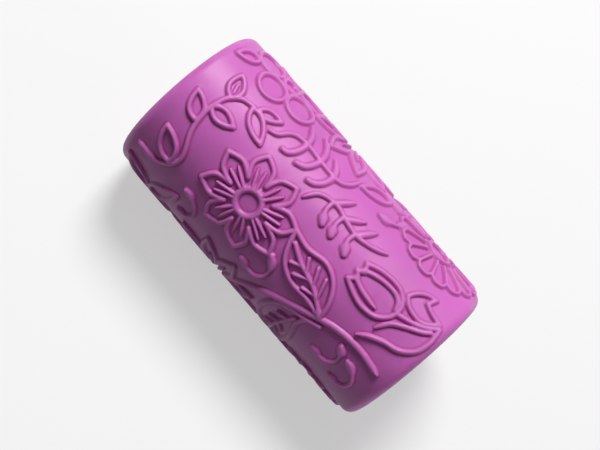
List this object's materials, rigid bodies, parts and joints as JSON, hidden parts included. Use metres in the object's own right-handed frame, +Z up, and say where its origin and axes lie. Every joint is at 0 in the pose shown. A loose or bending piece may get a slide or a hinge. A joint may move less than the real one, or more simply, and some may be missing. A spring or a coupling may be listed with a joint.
{
  "type": "clay texture roller",
  "caption": "Small hand roller with a raised floral line pattern that presses a repeating texture into clay; hubs in its ends take the rod of a handle.",
  "frame": {"origin": "centre of the roller", "axes": "+X along the roller's axis, +Z up with the roller lying on its side"},
  "size_m": [0.0508, 0.0264, 0.0264],
  "materials": {
    "shell": "satin moulded plastic, magenta lilac",
    "core": "plain off-white plastic",
    "hub": "satin moulded plastic, a shade darker than the shell"
  },
  "bodies": {
    "root": {"texture_sleeve": "shell", "core_tube": "core", "end_hub_left": "hub", "end_hub_right": "hub"}
  },
  "joints": []
}
